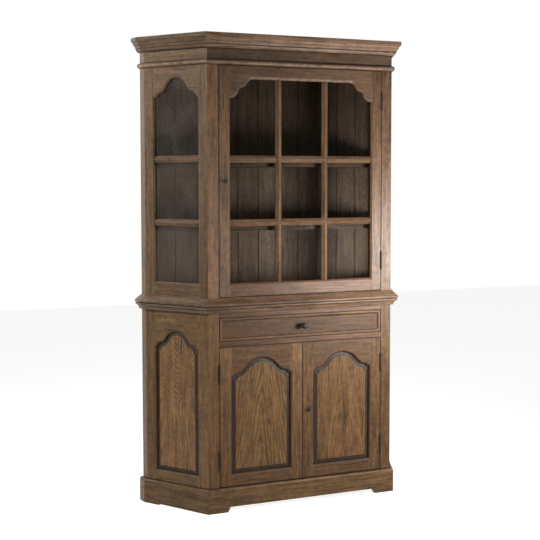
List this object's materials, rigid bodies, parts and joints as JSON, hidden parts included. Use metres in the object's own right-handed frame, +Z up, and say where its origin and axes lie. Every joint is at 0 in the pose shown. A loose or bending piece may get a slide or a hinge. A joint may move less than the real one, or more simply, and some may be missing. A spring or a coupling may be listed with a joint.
{
  "type": "display cabinet",
  "caption": "Tall display cabinet with canted corners, a glazed door over a moulded waist, a drawer and panelled cupboard doors on a shaped plinth.",
  "frame": {"origin": "on the floor under the middle of the bounding box", "axes": "+X to the right seen from the front, +Y to the back, +Z up"},
  "size_m": [1.41, 0.436, 2.2],
  "materials": {
    "frame_oak": "stained, worn oak with a soft sheen",
    "panel_oak": "stained oak with strong grain and dark glaze in the recesses",
    "waist_oak": "weathered oak, greyed on top",
    "inner_wood": "plain stained board",
    "knob_iron": "dark, polished by hands",
    "glass": "clear",
    "fitting_iron": "dark, rubbed bright at the edges",
    "lock_steel": "dull",
    "key_iron": "dark, worn"
  },
  "bodies": {
    "case": {"plinth_front": "frame_oak", "plinth_sides": "frame_oak", "plinth_inner_frame": "inner_wood", "lower_floor": "inner_wood", "lower_front_posts": "frame_oak", "lower_rear_posts": "frame_oak", "front_rails": "frame_oak", "lower_side_heads": "frame_oak", "lower_side_sills": "frame_oak", "lower_side_panels": "panel_oak", "lower_back_boards": "inner_wood", "lower_shelf": "inner_wood", "drawer_runners": "inner_wood", "waist_board": "waist_oak", "waist_moulding": "frame_oak", "upper_front_posts": "frame_oak", "upper_rear_posts": "frame_oak", "upper_side_heads": "frame_oak", "upper_side_sills": "frame_oak", "upper_side_bars": "frame_oak", "upper_side_glass": "glass", "side_glazing_beads": "inner_wood", "upper_back_boards": "inner_wood", "upper_shelves": "inner_wood", "shelf_pins": "lock_steel", "frieze": "frame_oak", "frieze_bead": "frame_oak", "cornice": "frame_oak", "top_boards": "inner_wood", "case_hinge_leaves": "fitting_iron"},
    "upper_door": {"glass_door_stiles": "frame_oak", "glass_door_head": "frame_oak", "glass_door_sill": "frame_oak", "glass_door_bars": "frame_oak", "glass_door_pane": "glass", "glass_door_glazing_beads": "inner_wood", "glass_door_hinge_leaves": "fitting_iron", "glass_door_lock": "lock_steel", "glass_door_escutcheon": "fitting_iron"},
    "left_door": {"left_door_stiles": "frame_oak", "left_door_head": "frame_oak", "left_door_sill": "frame_oak", "left_door_panel": "panel_oak", "left_door_hinge_leaves": "fitting_iron"},
    "right_door": {"right_door_stiles": "frame_oak", "right_door_head": "frame_oak", "right_door_sill": "frame_oak", "right_door_panel": "panel_oak", "right_door_hinge_leaves": "fitting_iron", "right_door_lock": "lock_steel", "right_door_escutcheon": "fitting_iron"},
    "drawer": {"drawer_front": "panel_oak", "drawer_sides": "inner_wood", "drawer_back": "inner_wood", "drawer_bottom": "inner_wood", "drawer_knob": "knob_iron"},
    "upper_key": {"upper_key": "key_iron"},
    "upper_bolt": {"upper_bolt": "lock_steel"},
    "lower_key": {"lower_key": "key_iron"},
    "lower_bolt": {"lower_bolt": "lock_steel"}
  },
  "joints": [
    {"name": "upper_door_hinge", "type": "hinge", "parent": "case", "child": "upper_door", "pos_m": [0.432, -0.176, 1.5], "axis": [0, 0, 1], "range_deg": [0, 110]},
    {"name": "left_door_hinge", "type": "hinge", "parent": "case", "child": "left_door", "pos_m": [-0.432, -0.176, 0.44], "axis": [0, 0, -1], "range_deg": [0, 110]},
    {"name": "right_door_hinge", "type": "hinge", "parent": "case", "child": "right_door", "pos_m": [0.432, -0.176, 0.44], "axis": [0, 0, 1], "range_deg": [0, 110]},
    {"name": "drawer_slide", "type": "slide", "parent": "case", "child": "drawer", "axis": [0, -1, 0], "range_m": [0, 0.26]},
    {"name": "upper_key_turn", "type": "hinge", "parent": "upper_door", "child": "upper_key", "pos_m": [-0.401, -0.174, 1.53422], "axis": [0, -1, 0], "range_deg": [0, 90]},
    {"name": "upper_bolt_slide", "type": "slide", "parent": "upper_door", "child": "upper_bolt", "axis": [-1, 0, 0], "range_m": [0, 0.008]},
    {"name": "lower_key_turn", "type": "hinge", "parent": "right_door", "child": "lower_key", "pos_m": [0.031, -0.174, 0.44703], "axis": [0, -1, 0], "range_deg": [0, 90]},
    {"name": "lower_bolt_slide", "type": "slide", "parent": "right_door", "child": "lower_bolt", "axis": [-1, 0, 0], "range_m": [0, 0.008]}
  ],
  "couplings": [
    {"joint": "upper_bolt_slide", "follows": "upper_key_turn", "m_per_rad": 0.005092},
    {"joint": "lower_bolt_slide", "follows": "lower_key_turn", "m_per_rad": 0.005092}
  ]
}
